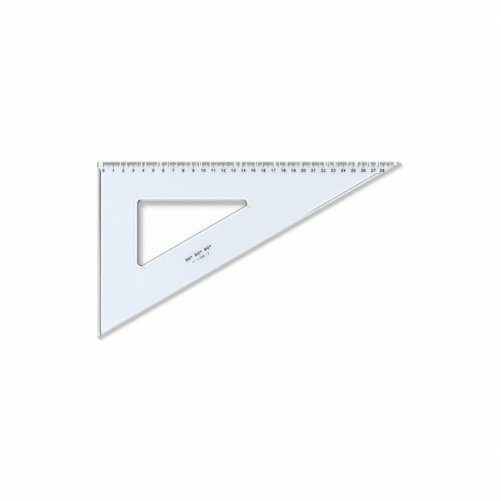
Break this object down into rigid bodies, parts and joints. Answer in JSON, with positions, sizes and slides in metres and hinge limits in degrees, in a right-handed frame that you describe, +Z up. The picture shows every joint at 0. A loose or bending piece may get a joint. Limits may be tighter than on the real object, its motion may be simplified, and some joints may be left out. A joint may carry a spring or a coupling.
{
  "type": "set square",
  "caption": "Clear 30/60/90 degree set square with a bevelled centimetre edge, two stepped edges and a triangular finger cut-out.",
  "frame": {"origin": "centre of the box of the flat underside, which is also the middle of the hypotenuse's line", "axes": "+X along the graduated long leg towards the 30 degree tip, +Y across the plate towards the graduated edge, +Z up through the plate to its printed face"},
  "size_m": [0.3036, 0.1758, 0.003],
  "materials": {
    "acrylic": "polished clear acrylic with a faint blue cast",
    "scale_ink": "matt black printed lines",
    "figure_ink": "matt black printed figures"
  },
  "bodies": {
    "root": {"plate": "acrylic", "millimetre_ticks": "scale_ink", "half_centimetre_ticks": "scale_ink", "centimetre_ticks": "scale_ink", "numerals": "figure_ink", "angle_figures": "figure_ink", "side_ratio_figures": "figure_ink"}
  },
  "joints": []
}
